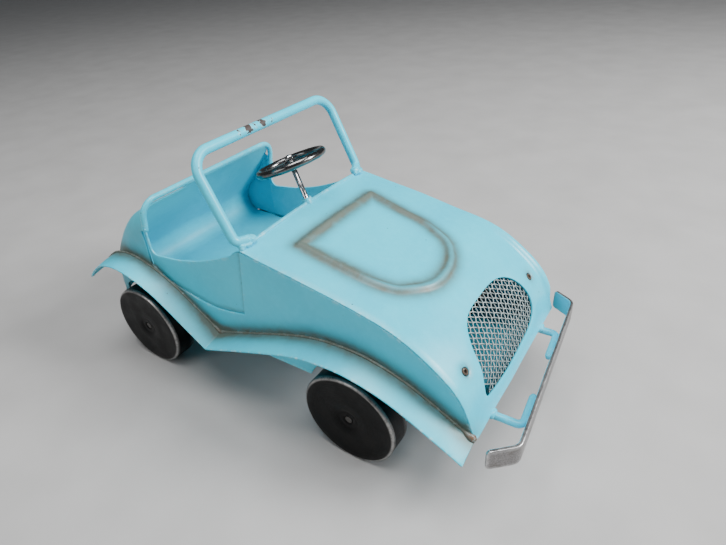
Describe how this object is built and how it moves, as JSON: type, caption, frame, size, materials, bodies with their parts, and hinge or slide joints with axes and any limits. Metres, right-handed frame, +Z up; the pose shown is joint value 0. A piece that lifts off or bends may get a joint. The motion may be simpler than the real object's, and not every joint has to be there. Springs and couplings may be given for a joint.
{
  "type": "pedal car",
  "caption": "Shelf-size open pedal car in painted sheet steel, with turning steering wheel, pedal-cranked front axle, rolling wheels, windscreen hoop and bumper.",
  "frame": {"origin": "on the ground under the middle of the overall length, on the centreline", "axes": "+X forward to the bumper, +Y to the car's left, +Z up"},
  "size_m": [0.2318, 0.1142, 0.1268],
  "materials": {
    "turquoise_paint": "worn satin turquoise paint with brown patina along the seams",
    "inside_paint": "satin blue-turquoise paint",
    "blackened_steel": "blackened, with a worn bright edge",
    "bare_steel": "brushed, tarnished",
    "grille_wire": "dull galvanised wire",
    "chrome": "polished",
    "dark_chrome": "dark polished, worn",
    "rust": "rusty"
  },
  "bodies": {
    "chassis": {"bumper_bar": "bare_steel", "bumper_bracket_left": "turquoise_paint", "bumper_bracket_right": "turquoise_paint", "cockpit_side_left": "turquoise_paint", "cockpit_side_right": "turquoise_paint", "column_strap": "inside_paint", "fender_left": "turquoise_paint", "fender_right": "turquoise_paint", "flank_left": "turquoise_paint", "flank_right": "turquoise_paint", "front_hanger_left": "inside_paint", "front_hanger_right": "inside_paint", "front_washer_left": "bare_steel", "front_washer_right": "bare_steel", "grille_mesh": "grille_wire", "headlight_rivet_left": "rust", "headlight_rivet_right": "rust", "hood": "turquoise_paint", "nose_plate": "inside_paint", "rear_axle": "bare_steel", "rear_hanger_left": "inside_paint", "rear_hanger_right": "inside_paint", "rear_rim": "turquoise_paint", "rear_washer_left": "bare_steel", "rear_washer_right": "bare_steel", "seat_back": "inside_paint", "seat_pan": "inside_paint", "steering_bush": "turquoise_paint", "trunk_shell": "turquoise_paint", "windscreen_frame": "turquoise_paint"},
    "front_axle_set": {"front_crank_axle": "bare_steel", "front_wheel_left": "blackened_steel", "front_wheel_right": "blackened_steel"},
    "pedal_right_body": {"pedal_right": "blackened_steel"},
    "pedal_left_body": {"pedal_left": "blackened_steel"},
    "rear_wheel_right_body": {"rear_wheel_right": "blackened_steel"},
    "rear_wheel_left_body": {"rear_wheel_left": "blackened_steel"},
    "steering": {"column_collar": "bare_steel", "steering_column": "chrome", "steering_nut": "chrome", "steering_wheel": "dark_chrome"}
  },
  "joints": [
    {"name": "front_axle_spin", "type": "hinge", "parent": "chassis", "child": "front_axle_set", "pos_m": [0.04605, 0, 0.0225], "axis": [0, 1, 0], "continuous": true},
    {"name": "pedal_right_turn", "type": "hinge", "parent": "front_axle_set", "child": "pedal_right_body", "pos_m": [0.05605, -0.0189, 0.0225], "axis": [0, 1, 0], "continuous": true},
    {"name": "pedal_left_turn", "type": "hinge", "parent": "front_axle_set", "child": "pedal_left_body", "pos_m": [0.03605, 0.0189, 0.0225], "axis": [0, 1, 0], "continuous": true},
    {"name": "rear_wheel_right_spin", "type": "hinge", "parent": "chassis", "child": "rear_wheel_right_body", "pos_m": [-0.08395, -0.0469, 0.0225], "axis": [0, 1, 0], "continuous": true},
    {"name": "rear_wheel_left_spin", "type": "hinge", "parent": "chassis", "child": "rear_wheel_left_body", "pos_m": [-0.08395, 0.0469, 0.0225], "axis": [0, 1, 0], "continuous": true},
    {"name": "steering_turn", "type": "hinge", "parent": "chassis", "child": "steering", "pos_m": [-0.01295, 0, 0.1078], "axis": [-0.3584, 0, 0.9336], "continuous": true}
  ],
  "couplings": [
    {"joint": "pedal_right_turn", "follows": "front_axle_spin", "ratio": -1},
    {"joint": "pedal_left_turn", "follows": "front_axle_spin", "ratio": -1}
  ]
}
